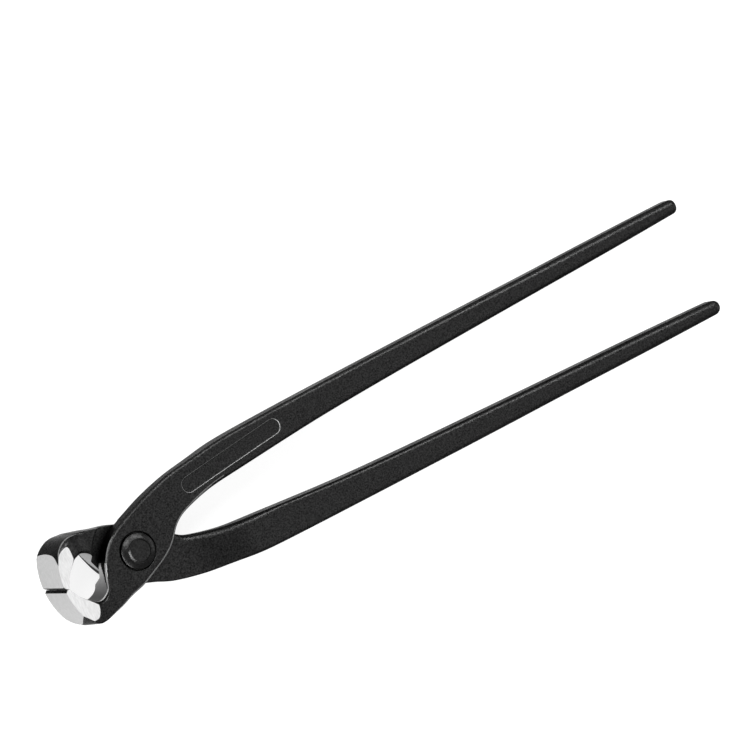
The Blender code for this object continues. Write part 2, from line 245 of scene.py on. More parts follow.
# Swellings and depths along a limb: place as a share of its reach, then the share of the whole
JOINT_SWELL_SHARES = ((0.0, 1.0), (0.04, 1.0), (0.08, 0.63), (0.12, 0.28), (0.17, 0.06), (0.24, 0.0), (1.0, 0.0))
JAW_SWELL_SHARES = ((0.0, 0.0), (0.25, 0.0), (0.4, 0.12), (0.53, 0.33), (0.66, 0.62), (0.8, 0.88), (1.0, 1.0))
RELIEF_SHARES = ((0.0, 0.0), (0.12, 0.03), (0.3, 0.17), (0.5, 0.42), (0.7, 0.69), (0.88, 0.91), (1.0, 1.0))
JAW_BACK_SHARES = (
    (0.0, 0.18),
    (0.25, 0.36),
    (0.43, 0.43),
    (0.57, 0.6),
    (0.64, 0.73),
    (0.72, 0.87),
    (0.8, 0.95),
    (1.0, 1.0),
)
HANDLE_EDGE_SHARES = ((0.0, 0.5), (0.1, 0.5), (0.4, 0.7), (1.0, 1.0))
FACE_CROWN_SHARES = ((0.0, 0.0), (0.4, 0.0), (0.65, 1.0), (0.8, 1.0), (1.0, 0.5))
TIP_DRAW_SHARES = (
    (0.0, 0.0),
    (0.55, 0.0),
    (0.62, 0.3),
    (0.68, 0.55),
    (0.72, 0.77),
    (0.79, 1.0),
    (0.83, 1.0),
    (0.9, 0.8),
    (1.0, 0.75),
)
MOUTH_TAPER_SHARES = ((0.0, 0.0), (0.45, 0.0), (0.53, 0.8), (0.6, 1.0), (0.7, 0.8), (0.8, 0.0), (1.0, 0.0))
BELLY_SHARES = (
    (0.0, 0.55),
    (0.016, 0.55),
    (0.026, 0.8),
    (0.04, 1.0),
    (0.05, 0.95),
    (0.08, 0.7),
    (0.14, 0.6),
    (0.22, 0.25),
    (0.35, 0.0),
)
INNER_BELLY_SHARES = ((0.0, 0.0), (0.06, 0.3), (0.12, 1.0), (0.18, 1.0), (0.35, 0.0))
MOUTH_EDGE_SHARES = ((-1.0, 0.3), (-0.5, 0.3), (-0.1, 1.0), (1.0, 1.0))
CROTCH_EDGE_SHARES = ((0.0, 0.0), (0.04, 0.0), (0.075, 1.0), (0.16, 0.9), (0.28, 0.0))
PLATE_EDGE_SHARES = ((-0.9, 0.0), (-0.5, 1.0), (1.0, 1.0))

# How much of the mouth's side stays black below the face, by Y
BLACK_SIDE_SHARES = ((-6.5, 0.0), (-2.0, 0.3), (1.5, 0.6))

# How much of a corner's arc takes the paler oxide as a painted highlight line, by X: the second side's in front, the
# jaw's outer side behind, and on the first side in front a band of so many points at most, from its start
HIGHLIGHT_BAND = (4, 2)
HIGHLIGHT_SECOND_SHARES = ((-18.0, 0.0), (-14.0, 1.0), (14.0, 1.0), (40.0, 0.0))
HIGHLIGHT_JAW_SHARES = ((-24.0, 0.6), (-19.0, 0.6), (-15.0, 0.0))
HIGHLIGHT_FIRST_SHARES = ((-16.0, 0.0), (-12.0, 1.0), (-8.0, 1.0), (-6.0, 0.0))

# The surfaces: sizes and depths in millimetres
CLOUD_SIZE = 14.0
CLOUD_GLOSS = 0.1
PIT_DEPTH = 0.1
OXIDE_GRAZING = 0.4
SCRATCH_SIZE = 0.4
SCRATCH_STRETCH = 0.2
SCRATCH_DEPTH = 0.02

# What a noise runs between, and the numbers of a colour mix's sockets
NOISE_SPAN = {"From Min": 0.3, "From Max": 0.7}
MIX_FACTOR, FIRST_COLOUR, SECOND_COLOUR = 0, 6, 7
MIXED_COLOUR = 2


def spline(rows, places):
    """Natural cubic spline through rows at whole numbers of places: piecewise cubics whose bends are continuous."""
    rows = np.asarray(rows, float)
    spans = np.linalg.norm(np.diff(rows, axis=0), axis=1)[:, None]
    slopes = np.diff(rows, axis=0) / spans
    count = len(rows)
    matrix = np.eye(count)
    inner = np.arange(1, count - 1)
    matrix[inner, inner - 1] = spans[:-1, 0]
    matrix[inner, inner] = 2 * (spans[:-1, 0] + spans[1:, 0])
    matrix[inner, inner + 1] = spans[1:, 0]
    right = np.zeros_like(rows)
    right[1:-1] = 6 * np.diff(slopes, axis=0)
    bend = np.linalg.solve(matrix, right)
    i = np.minimum(places.astype(int), count - 2)
    span = spans[i]
    after = (places - i)[:, None] * span
    before = span - after
    return (
        (bend[i] * before**3 + bend[i + 1] * after**3) / (6 * span)
        + (rows[i] / span - bend[i] * span / 6) * before
        + (rows[i + 1] / span - bend[i + 1] * span / 6) * after
    )


def share_at(place, table):
    """Monotone cubic through the table: each point's slope is the harmonic mean of its neighbours' slopes."""
    places, values = np.array(table).T
    steps = np.diff(places)
    slopes = np.diff(values) / steps
    same_way = slopes[:-1] * slopes[1:] > 0
    total = np.where(same_way, slopes[:-1] + slopes[1:], 1)
    inner = np.where(same_way, 2 * slopes[:-1] * slopes[1:] / total, 0)
    ends = np.concatenate([[0], inner, [0]])
    place = np.clip(place, places[0], places[-1])
    i = np.clip(np.searchsorted(places, place, side="right") - 1, 0, len(steps) - 1)
    t = (place - places[i]) / steps[i]
    return (
        (1 + 2 * t) * (1 - t) ** 2 * values[i]
        + t * (1 - t) ** 2 * steps[i] * ends[i]
        + t**2 * (3 - 2 * t) * values[i + 1]
        - t**2 * (1 - t) * steps[i] * ends[i + 1]
    )


def rounded_step(rise, slope, radius):
    """The larger of zero and a slope's rise, with an arc of the given radius where they meet."""
    reach = radius * math.tan(math.atan(slope) / 2)
    across = rise / slope
    arc = radius - np.sqrt(np.maximum(radius**2 - (across + reach) ** 2, 0))
    return np.where(across < -reach, 0, np.where(across > reach * math.cos(math.atan(slope)), rise, arc))


def front_height(x):
    """Half the joint's thickness, less towards the handle and more towards the jaw, by the swellings' shares."""
    handle = HANDLE_THICKNESS / 2 + share_at(x / HANDLE_REACH, JOINT_SWELL_SHARES) * (
        (JOINT_THICKNESS - HANDLE_THICKNESS) / 2
    )
    jaw = JOINT_THICKNESS / 2 + share_at(-x / JAW_REACH, JAW_SWELL_SHARES) * (
        (JAW_FORGED_WIDTH - JOINT_THICKNESS) / 2
    )
    return np.where(x > 0, handle, jaw)


def back_height(x, y):
    """The lap face; below it the relief towards the handle, and the jaw's depth beyond the pocket's drafted wall.

    The wall's depth is its distance from the pocket's circle times its slope, and the jaw's depth caps it. Arcs round
    both corners of that step.
    """
    lap = LAP_GAP / 2
    relief = share_at((x - RELIEF_START) / RELIEF_LENGTH, RELIEF_SHARES) * (lap + HANDLE_THICKNESS / 2)
    jaw = share_at(-x / JAW_REACH, JAW_BACK_SHARES) * (lap + JAW_FORGED_WIDTH / 2)
    wall = rounded_step((np.hypot(x, y) - POCKET_RADIUS) * POCKET_SLOPE, POCKET_SLOPE, POCKET_FILLET)
    step = jaw - rounded_step(jaw - wall, POCKET_SLOPE, POCKET_ROUND)
    return lap - np.where(x > 0, relief, np.maximum(step, 0))


def limb_stations(form):
    """X and Y of both sides at each station, a spline through the sections, and the bevel's section as the last.

    Beside the joint each side is moved out by the belly's shares.
    """
    end = HANDLE_REACH - HANDLE_END
    rows = [[end, HANDLE_END_SHARES[0] * HANDLE_HALF_SPREAD, end, HANDLE_END_SHARES[1] * HANDLE_HALF_SPREAD]]
    for along, outer, inner in HANDLE_SECTION_SHARES:
        x = along * HANDLE_REACH
        rows.append([x, outer * HANDLE_HALF_SPREAD, x, inner * HANDLE_HALF_SPREAD])
    rows = np.vstack([rows, np.array(JOINT_SECTION_SHARES) * JOINT_RADIUS])
    jaw_start = JAW_START_SHARE * JOINT_RADIUS
    jaw = np.array([jaw_start - JAW_REACH, HEAD_HALF_WIDTH] * 2)
    rows = np.vstack([rows, np.array(JAW_SECTION_SHARES) * jaw - np.array([jaw_start, 0] * 2)])
    starts = np.repeat(np.arange(len(SPAN_STATIONS)), SPAN_STATIONS)
    firsts = np.repeat(np.cumsum((0,) + SPAN_STATIONS)[:-1], SPAN_STATIONS)
    places = starts + (np.arange(len(starts)) - firsts) / np.repeat(SPAN_STATIONS, SPAN_STATIONS)
    stations = spline(rows, np.append(places, len(SPAN_STATIONS)))
    stations[:, 1] += form["belly"] * share_at(stations[:, 0] / HANDLE_REACH, BELLY_SHARES) * (stations[:, 0] > 0)
    stations[:, 3] -= INNER_BELLY * share_at(stations[:, 2] / HANDLE_REACH, INNER_BELLY_SHARES)
    edge = np.array([CUTTING_BEVEL - JAW_REACH, -EDGE_GAP / 2])
    return np.vstack([stations, np.concatenate([edge, edge - FORGED_ALLOWANCE])])


def edge_radii(first, second):
    """Radius of the rounded edges at each station: first side in front and behind, second side in front and behind."""
    x = (first[..., 0] + second[..., 0]) / 2
    handle = HANDLE_EDGE * share_at(x / HANDLE_REACH, HANDLE_EDGE_SHARES)
    crotch = FINE_EDGE + (CROTCH_EDGE - FINE_EDGE) * share_at(x / HANDLE_REACH, CROTCH_EDGE_SHARES)
    plate = FINE_EDGE + (PLATE_EDGE - FINE_EDGE) * share_at(first[..., 1] / HEAD_HALF_WIDTH, MOUTH_EDGE_SHARES)
    onto_handle = share_at((x - RELIEF_START) / RELIEF_LENGTH, ((0.0, 0.0), (1.0, 1.0)))
    fine = FINE_EDGE + onto_handle * (handle - FINE_EDGE)
    second = fine + (SECOND_EDGE - FINE_EDGE) * share_at(x / JOINT_RADIUS, PLATE_EDGE_SHARES) * (1 - onto_handle)
    return plate + onto_handle * (handle - plate), fine, second, np.maximum(fine, crotch)


def round_section(width, radii):
    """Once round a rectangle with an arc in each corner, anticlockwise from the second side's corner in front.

    Each point has its distance from the first side, its level as a share from the back face to the front one, and its
    lift off that level, which is the arc's radius times a sine less one.
    """
    first_front, first_back, second_front, second_back = radii
    turn = np.linspace(0, math.pi / 2, CORNER_POINTS)
    flat = np.zeros_like(width)
    corners = (
        (width - second_front, second_front, 1, width - second_front, first_front, FRONT_POINTS),
        (first_front, first_front, 1, flat, flat, SIDE_POINTS),
        (first_back, first_back, 0, first_back, width - second_back, BACK_POINTS),
        (width - second_back, second_back, 0, width, width, SIDE_POINTS),
    )
    along, level, lift = [], [], []
    for number, (middle, edge, in_front, start, stop, count) in enumerate(corners):
        angle = turn + number * math.pi / 2
        along.append(middle + edge * np.cos(angle))
        level.append(np.full_like(along[-1], in_front))
        lift.append(edge * (np.sin(angle) - (1 if in_front else -1)))
        share = np.arange(1, count + 1) / (count + 1)
        along.append(start + (stop - start) * share)
        if number in (0, 2):
            level.append(np.full_like(along[-1], in_front))
            lift.append(np.zeros_like(along[-1]))
        else:
            after = first_back if number == 1 else second_front
            level.append(np.broadcast_to(1 - share if in_front else share, along[-1].shape))
            from_edge = (edge * (1 - share) - after * share) * (-1 if in_front else 1)
            lift.append(np.broadcast_to(from_edge, along[-1].shape))
    return np.hstack(along), np.hstack(level), np.hstack(lift)


def section_rings(stations, form):
    """X, Y and Z once round every station: a rounded rectangle between the two sides, and front and back height.

    The jaw's faces fall away on both sides of a line near the mouth, by a power of the distance from it. Its outer
    side is drawn in by a power of the height above or below its fullest line.
    """
    first, second = stations[:, None, :2], stations[:, None, 2:]
    width = np.linalg.norm(second - first, axis=2)
    along, level, lift = round_section(width, edge_radii(first, second))
    across = (second - first) / width[..., None]
    point = first + along[..., None] * across
    x, y = point[..., 0], point[..., 1]
    outwards = np.maximum(along / width - FLAT_SHARE, 0) / (1 - FLAT_SHARE)
    mouthwards = np.maximum(1 - along / width / FLAT_SHARE, 0)
    fall = form["face_drop"] + form["face_fall"] * outwards ** form["face_power"]
    fall = fall + (MOUTH_FALL - form["face_drop"]) * mouthwards**2
    crowned = fall * share_at(-x / JAW_REACH, FACE_CROWN_SHARES)
    front = front_height(x) - crowned
    back = back_height(x, y) + crowned * (x < 0)
    z = back + (front - back) * level + lift
    middle_x = (first[..., 0] + second[..., 0]) / 2
    place = -middle_x / JAW_REACH
    half_edge = CUTTING_EDGE_WIDTH / 2
    from_fullest = np.abs(z - form["fullest"]) / (half_edge + abs(form["fullest"]))
    drawn_in = form["crown"] * share_at(place, form["crown_shares"]) * from_fullest ** form["power"]
    drawn_in = drawn_in + form["tip_draw"] * share_at(place, TIP_DRAW_SHARES)
    narrowing = form["mouth_taper"] * share_at(place, MOUTH_TAPER_SHARES) * np.maximum(-z, 0) / half_edge
    moved = along * (1 - drawn_in / width) - narrowing * (1 - along / width) ** 3
    point = first + moved[..., None] * across
    return np.concatenate([point, z[..., None]], axis=2)


def handle_end(ring):
    """The handle's last ring shrunk round its middle by the cosine of a quarter turn, and moved out by its sine."""
    angle = np.linspace(math.pi / 2, 0, END_RINGS, endpoint=False)[1:, None, None]
    middle = ring.mean(axis=0)
    rings = middle + (ring - middle) * np.cos(angle)
    rings[..., 0] += HANDLE_END * np.sin(angle[..., 0])
    tip = middle + np.array([HANDLE_END, 0, 0])
    return tip, rings


def grid_faces(rows, columns, offset=0):
    """Quads between each row of points and the next, closed round the columns."""
    start = offset + np.arange(rows - 1)[:, None] * columns
    here, after = np.arange(columns), np.roll(np.arange(columns), -1)
    below = start + columns
    return np.stack([start + here, start + after, below + after, below + here], axis=-1).reshape(-1, 4)


def fan_faces(tip, start, count):
    """Triangles from one point to each pair of neighbours in a closed ring of points."""
    here = start + np.arange(count)
    return np.column_stack([np.full(count, tip), here, np.roll(here, -1)])


def mesh_from(name, points, face_groups, materials):
    """A mesh object from an array of points in millimetres and arrays of faces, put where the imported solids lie."""
    mesh = bpy.data.meshes.new(name)
    faces = sum((np.asarray(group).tolist() for group in face_groups), [])
    mesh.from_pydata((points * MM + PIVOT).tolist(), [], faces)
    for material in materials:
        mesh.materials.append(material)
    shape = bmesh.new()
    shape.from_mesh(mesh)
    bmesh.ops.recalc_face_normals(shape, faces=shape.faces)
    shape.to_mesh(mesh)
    shape.free()
    obj = bpy.data.objects.new(name, mesh)
    bpy.context.scene.collection.objects.link(obj)
    return obj


def highlight_band_faces(place, start, most, x, shares):
    """Which faces on a corner's arc get a painted highlight: from the start on, as many as X's share of the most says.
    """
    return (place >= start) & (place < start + most * share_at(x, shares))


def forged_limb(name, form, materials):
    """The loft through every ring, closed by the handle's tip and by the bevel's face.

    The materials are the forged, the milled and the paler one, and that of the milled rim. The mouth's side is
    milled, its corner in front brighter as a painted highlight, and some other corners paler as painted highlights.
    """
    stations = limb_stations(form)
    rings = section_rings(stations, form)
    tip, end = handle_end(rings[0])
    body = np.concatenate([end, rings])
    points = np.vstack([tip[None], body.reshape(-1, 3)])
    quads = grid_faces(len(body), RING_POINTS, 1)
    last_ring = 1 + (len(body) - 1) * RING_POINTS + np.arange(RING_POINTS)
    limb = mesh_from(name, points, (quads, fan_faces(0, 1, RING_POINTS), [last_ring]), materials)
    row, column = np.divmod(np.arange(len(quads)), RING_POINTS)
    x = np.append(np.full(len(end), HANDLE_REACH), stations[:, 0])[row]
    mouth_y = np.append(np.full(len(end), HANDLE_HALF_SPREAD), stations[:, 1])[row]
    in_mouth = (mouth_y < MILLED_FROM) & (x < 0)
    from_front = (column - FIRST_SIDE[0]) / (SIDE_POINTS + 1)
    milled_side = in_mouth & (from_front >= share_at(mouth_y, BLACK_SIDE_SHARES)) & (column < FIRST_SIDE[1])
    # The milled rim: brighter steel on the mouth's corner in front, a painted highlight line
    milled_highlight_rim = in_mouth & (column >= FIRST_SIDE[0] - MILLED_EDGE_POINTS) & (column < FIRST_SIDE[0])
    # Bands of the paler oxide on corners: painted highlight lines
    second_highlight = highlight_band_faces(CORNER_POINTS - 2 - column, 0, CORNER_POINTS - 1, x, HIGHLIGHT_SECOND_SHARES)
    first_highlight = highlight_band_faces(column - CORNER_POINTS - FRONT_POINTS, *HIGHLIGHT_BAND, x, HIGHLIGHT_FIRST_SHARES)
    from_side = column - (RING_POINTS - SIDE_POINTS - CORNER_POINTS)
    jaw_highlight = highlight_band_faces(from_side, 0, CORNER_POINTS - 1, x, HIGHLIGHT_JAW_SHARES)
    highlight_faces = (second_highlight | first_highlight | jaw_highlight) & ~milled_side & ~milled_highlight_rim
    slots = np.zeros(len(limb.data.polygons), np.int32)
    slots[: len(quads)] = milled_side + 2 * highlight_faces + 3 * milled_highlight_rim
    limb.data.polygons.foreach_set("material_index", slots)
    return limb


def prism(name, outline, low, high, material):
    """A flat outline given height: the same ring of points at two heights, with a face over each."""
    count = len(outline)
    rings = [np.column_stack([outline, np.full(count, height)]) for height in (low, high)]
    ends = np.arange(2 * count).reshape(2, count)
    return mesh_from(name, np.vstack(rings), (grid_faces(2, count), ends), (material,))


def turned_piece(name, profile, material):
    """A profile of radius and height turned about the pivot: radius times cosine and sine of each turn's angle."""
    profile = np.asarray(profile, float)
    angle = np.arange(TURNED_STEPS) / TURNED_STEPS * 2 * math.pi
    radius, height = profile[1:-1, :1], profile[1:-1, 1:]
    rings = np.stack(
        [radius * np.cos(angle), radius * np.sin(angle), np.broadcast_to(height, (len(height), TURNED_STEPS))],
        axis=-1,
    )
    poles = [[0, 0, profile[0, 1]], [0, 0, profile[-1, 1]]]
    points = np.vstack([rings.reshape(-1, 3), poles])
    count = len(points)
    top = fan_faces(count - 2, 0, TURNED_STEPS)
    bottom = fan_faces(count - 1, count - 2 - TURNED_STEPS, TURNED_STEPS)[:, [0, 2, 1]]
    return mesh_from(name, points, (grid_faces(len(height), TURNED_STEPS), top, bottom), (material,))


def arc(middle, radius, start, stop, count):
    """Points on an arc of a circle, with the angles in degrees: the middle plus radius times cosine and sine."""
    angle = np.radians(np.linspace(start, stop, count))
    return np.column_stack([middle[0] + radius * np.cos(angle), middle[1] + radius * np.sin(angle)])


def rivet_hole(material):
    """The rivet's hole and seat: a turned profile whose upper edge opens along an arc, so that the lip is rounded."""
    face = JOINT_THICKNESS / 2
    lip = arc((SEAT_RADIUS + SEAT_LIP, face - SEAT_LIP), SEAT_LIP, *SEAT_LIP_ARC)
    floor = face - SEAT_DEPTH
    top = face + SEAT_LIP
    run = lip[0] + (lip[0] - lip[1]) * (top - lip[0, 1]) / (lip[0, 1] - lip[1, 1])
    hole = [(SEAT_RADIUS, floor), (HOLE_RADIUS, floor), (HOLE_RADIUS, -OVERRUN), (0, -OVERRUN)]
    return turned_piece("rivet_hole", np.vstack([[(0, top), run], lip, hole]), material)


def sunk_panel(floor_steel, lip_highlight_steel):
    """A long recess with round ends, sunk to one depth below the handle's face.

    At each station along it the outline lies as far out as the straight part, the round ends' sine and cosine and the
    profile's step say, on both sides. The profile has a rounded lip and foot, and strips across close it.
    """
    lip = arc((PANEL_LIP, -PANEL_LIP), PANEL_LIP, *PANEL_LIP_ARC)
    run = lip[0] + (lip[0] - lip[1]) * PANEL_LIP_RUN
    foot = arc((-PANEL_FOOT, PANEL_FOOT - PANEL_DEPTH), PANEL_FOOT, *PANEL_FOOT_ARC)
    profile = np.vstack([run[None], lip, foot])
    straight = (PANEL_LENGTH - PANEL_WIDTH) / 2
    quarter = np.linspace(0, math.pi / 2, PANEL_END_STATIONS)
    level = np.zeros(PANEL_SIDE_STATIONS)
    turn = np.concatenate([-quarter[::-1], level, quarter])
    between = np.linspace(-straight, straight, PANEL_SIDE_STATIONS + 2)[1:-1]
    middle = np.concatenate([np.full(len(quarter), -straight), between, np.full(len(quarter), straight)])
    reach = PANEL_WIDTH / 2 + profile[:, :1]
    along, aside = middle + reach * np.sin(turn), reach * np.cos(turn)
    along = np.hstack([along, along[:, -2:0:-1]])
    aside = np.hstack([aside, -aside[:, -2:0:-1]])
    cos, sin = math.cos(PANEL_TURN), math.sin(PANEL_TURN)
    x = PANEL_MIDDLE[0] + along * cos - aside * sin
    y = PANEL_MIDDLE[1] + along * sin + aside * cos
    rings = np.stack([x, y, front_height(x) + profile[:, 1:]], axis=-1)
    count, last = along.shape[1], len(turn) - 1
    here = np.arange(1, last - 1)
    strips = np.column_stack([here, here + 1, count - here - 1, count - here])
    tips = np.array([(0, 1, count - 1), (last - 1, last, count - last + 1)])
    below = (len(rings) - 1) * count
    groups = (grid_faces(len(rings), count), strips, strips + below, tips, tips + below)
    cutter = mesh_from("sunk_panel", rings.reshape(-1, 3), groups, (floor_steel, lip_highlight_steel))
    slots = np.zeros(len(cutter.data.polygons), np.int32)
    # The lip's faces take the lip material: the paler oxide, a painted highlight along the recess's edge
    slots[: len(lip) * count] = 1
    cutter.data.polygons.foreach_set("material_index", slots)
    return cutter


def grinding_wheel(material):
    """All that lies outside a large circle about Z: an arc closed behind."""
    middle = GRIND_RADIUS - JAW_REACH
    widest = math.degrees(math.asin((HEAD_HALF_WIDTH + OVERRUN) / GRIND_RADIUS))
    front = arc((middle, 0), GRIND_RADIUS, 180 - widest, 180 + widest, WHEEL_POINTS)
    behind = [(-JAW_REACH - OVERRUN, front[-1, 1]), (-JAW_REACH - OVERRUN, front[0, 1])]
    depth = JAW_FORGED_WIDTH / 2 + OVERRUN
    return prism("grinding_wheel", np.vstack([front, behind]), -depth, depth, material)


def side_grinding(side, material):
    """What is ground off one side of the jaw, so that the cutting edge has its width."""
    corners = [
        (-JAW_REACH - OVERRUN, -HEAD_HALF_WIDTH - OVERRUN),
        (0, -HEAD_HALF_WIDTH - OVERRUN),
        (0, HEAD_HALF_WIDTH + OVERRUN),
        (-JAW_REACH - OVERRUN, HEAD_HALF_WIDTH + OVERRUN),
    ]
    inner, outer = side * CUTTING_EDGE_WIDTH / 2, side * (JAW_FORGED_WIDTH / 2 + OVERRUN)
    return prism("side_grinding", corners, min(inner, outer), max(inner, outer), material)


def cut_away(obj, cutters):
    """Cuts each cutter out of obj. A cut face keeps the cutter's material. The cutters go afterwards."""
    for cutter in cutters:
        step = obj.modifiers.new(cutter.name, "BOOLEAN")
        step.operation = "DIFFERENCE"
        step.solver = "EXACT"
        step.material_mode = "TRANSFER"
        step.object = cutter
    bpy.context.view_layer.update()
    graph = bpy.context.evaluated_depsgraph_get()
    mesh = bpy.data.meshes.new_from_object(obj.evaluated_get(graph))
    obj.modifiers.clear()
    obj.data = mesh
    for cutter in cutters:
        bpy.data.objects.remove(cutter, do_unlink=True)


def shade(obj):
    """Smooth shading, with a hard edge wherever two faces meet sharply. The finely stepped ground faces stay flat."""
    mesh = obj.data
    mesh.shade_smooth()
    mesh.set_sharp_from_angle(angle=HARD_EDGE)
    slots = np.empty(len(mesh.polygons), np.int32)
    mesh.polygons.foreach_get("material_index", slots)
    ground = [i for i, material in enumerate(mesh.materials) if material in (ground_end_painted_shade, ground_side)]
    mesh.polygons.foreach_set("use_smooth", ~np.isin(slots, ground))


def turn_over(obj):
    """Turns a mesh about the pivot's X axis: Y and Z change sign, which keeps faces outwards."""
    mesh = obj.data
    points = np.empty(len(mesh.vertices) * 3, np.float32)
    mesh.vertices.foreach_get("co", points)
    points = (points.reshape(-1, 3) - PIVOT) * [1, -1, -1] + PIVOT
    mesh.vertices.foreach_set("co", points.astype(np.float32).ravel())
    mesh.update()


def finished_limb(name, form, with_panel):
    """A forging with its ground and milled faces, its rivet hole and, on the front one, the recess."""
    limb = forged_limb(name, form, (black_oxide, milled_steel, highlight_oxide, milled_highlight_steel))
    cutters = [
        grinding_wheel(ground_end_painted_shade),
        side_grinding(1, ground_side),
        side_grinding(-1, ground_side),
        rivet_hole(black_oxide),
    ]
    if with_panel:
        cutters.append(sunk_panel(black_oxide, highlight_oxide))
    cut_away(limb, cutters)
    shade(limb)
    return limb


def rivet_profile():
    """Radius and height from the top to the bottom: a flat boss with a bevel, then a domed rim, twice over.

    The dome is an arc of a circle from its slope at the boss to its slope at the rim, where a small arc turns it down.
    """
    face = JOINT_THICKNESS / 2
    top = face + RIVET_RISE + BOSS_RISE
    inner, outer = math.radians(DOME_SLOPES[0]), math.radians(DOME_SLOPES[1])
    foot_radius = BOSS_RADIUS + BOSS_FOOT
    rim_x = RIVET_RADIUS - RIM_ROUND
    dome_radius = (rim_x + RIM_ROUND * math.sin(outer) - foot_radius) / (math.sin(outer) - math.sin(inner))
    middle = (foot_radius - dome_radius * math.sin(inner), face + RIVET_RISE - dome_radius * math.cos(inner))
    dome = arc(middle, dome_radius, 90 - DOME_SLOPES[0], 90 - DOME_SLOPES[1], DOME_POINTS)
    rim_middle = (rim_x, dome[-1, 1] - RIM_ROUND * math.cos(outer))
    rim = arc(rim_middle, RIM_ROUND, 90 - DOME_SLOPES[1], 0, RIM_POINTS)[1:]
    bevel = [(BOSS_RADIUS - BOSS_BEVEL[0], top), (BOSS_RADIUS, top - BOSS_BEVEL[1])]
    foot = [(BOSS_RADIUS, face + RIVET_RISE - BOSS_DIP), (foot_radius, face + RIVET_RISE - BOSS_DIP)]
    under = face - SEAT_DEPTH + RIVET_CLEARANCE
    shank = [(RIVET_RADIUS, under), (SHANK_RADIUS, under)]
    half = np.vstack([[(0, top), (BOSS_RADIUS / 2, top)], bevel, foot, dome, rim, shank])
    return np.vstack([half, half[::-1] * [1, -1]])


def linear(colour):
    """A colour written as an sRGB hex value, turned to linear red, green, blue and alpha."""
    parts = [int(colour[i : i + 2], 16) / 255 for i in (1, 3, 5)]
    return tuple(p / 12.92 if p <= 0.04045 else ((p + 0.055) / 1.055) ** 2.4 for p in parts) + (1.0,)


def add_node(tree, kind, values=None, links=None, **settings):
    """Adds a node, with its settings, the values of its sockets, and links from (node, output) to its sockets.

    A socket is called by its name, or by its number where the node has several of that name.
    """
    made = tree.nodes.new(kind)
    for name, value in settings.items():
        setattr(made, name, value)
    for name, value in (values or {}).items():
        made.inputs[name].default_value = value
    for name, (source, output) in (links or {}).items():
        tree.links.new(source.outputs[output], made.inputs[name])
    return made


def new_material(name):
    """An empty material and its node tree."""
    material = bpy.data.materials.new(name)
    material.use_nodes = True
    material.node_tree.nodes.clear()
    return material, material.node_tree


def black_oxide_steel(name, grain_mm, bump, darkest, palest, roughest):
    """Tool steel, drop forged, shot blasted and blackened hot: a thin oxide that is nearly black and a little oily.

    To the eye it is a soft dark sheen with fine pits from the shot, and cloudy where the oxide took unevenly. The
    pits are 0.1 mm across in the steel and are drawn coarser, so that they show from a step away. They shade each
    other, so the steel gives back only a part of what grazes it.
    """
    material, tree = new_material(name)
    place = add_node(tree, "ShaderNodeTexCoord")
    pits = add_node(
        tree,
        "ShaderNodeTexNoise",
        {"Scale": 1 / (grain_mm * MM), "Detail": 2.0, "Roughness": 0.6},
        {"Vector": (place, "Object")},
    )
    clouds = add_node(
        tree,
        "ShaderNodeTexNoise",
        {"Scale": 1 / (CLOUD_SIZE * MM), "Detail": 3.0, "Roughness": 0.55},
        {"Vector": (place, "Object")},
    )
    tone = add_node(tree, "ShaderNodeMapRange", NOISE_SPAN, {"Value": (pits, "Fac")})
    colour = add_node(
        tree,
        "ShaderNodeMix",
        {FIRST_COLOUR: linear(darkest), SECOND_COLOUR: linear(palest)},
        {MIX_FACTOR: (tone, "Result")},
        data_type="RGBA",
    )
    rough = add_node(
        tree,
        "ShaderNodeMapRange",
        {**NOISE_SPAN, "To Min": roughest - CLOUD_GLOSS, "To Max": roughest},
        {"Value": (clouds, "Fac")},
    )
    bumps = add_node(
        tree,
        "ShaderNodeBump",
        {"Strength": bump, "Distance": PIT_DEPTH * MM},
        {"Height": (pits, "Fac")},
    )
    shader = add_node(
        tree,
        "ShaderNodeBsdfPrincipled",
        {"Metallic": 1.0, "Specular Tint": (OXIDE_GRAZING, OXIDE_GRAZING, OXIDE_GRAZING, 1.0)},
        {"Base Color": (colour, MIXED_COLOUR), "Roughness": (rough, "Result"), "Normal": (bumps, "Normal")},
    )
    add_node(tree, "ShaderNodeOutputMaterial", None, {"Surface": (shader, "BSDF")})
    return material


